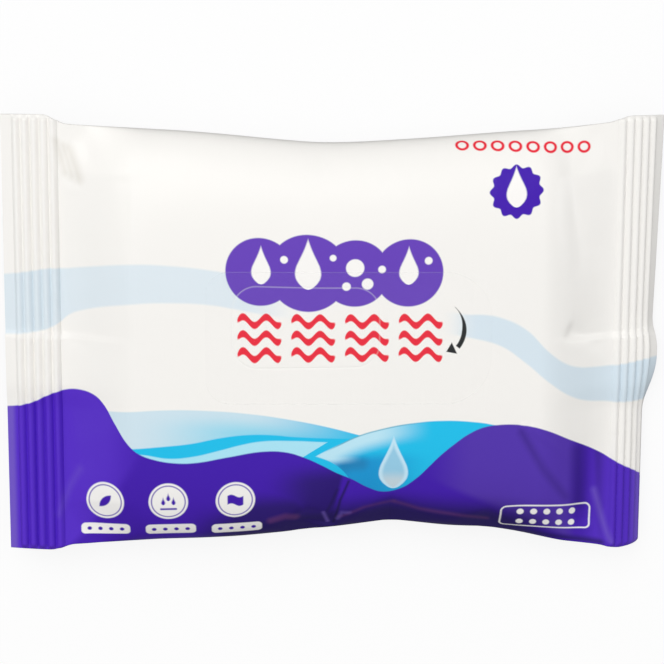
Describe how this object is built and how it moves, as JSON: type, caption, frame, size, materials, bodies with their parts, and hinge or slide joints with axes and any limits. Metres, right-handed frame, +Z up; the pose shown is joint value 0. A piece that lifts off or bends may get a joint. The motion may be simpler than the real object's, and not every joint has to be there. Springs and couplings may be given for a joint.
{
  "type": "wet wipes pack",
  "caption": "Sealed film pouch of wet wipes lying on its back, with a ribbed flat seal at each end, a fin seal folded on the back and a clear reseal label on the front.",
  "frame": {"origin": "middle of the pack's box, on the surface that its back lies on", "axes": "+X along the pack from the left seal to the right one, +Y across it towards the plain edge away from the printed base, +Z up out of the front"},
  "size_m": [0.141, 0.0942, 0.0184],
  "materials": {
    "printed_film": "printed gloss film",
    "clear_label": "clear gloss"
  },
  "bodies": {
    "root": {"film_pack": "printed_film", "reseal_label": "clear_label"}
  },
  "joints": []
}
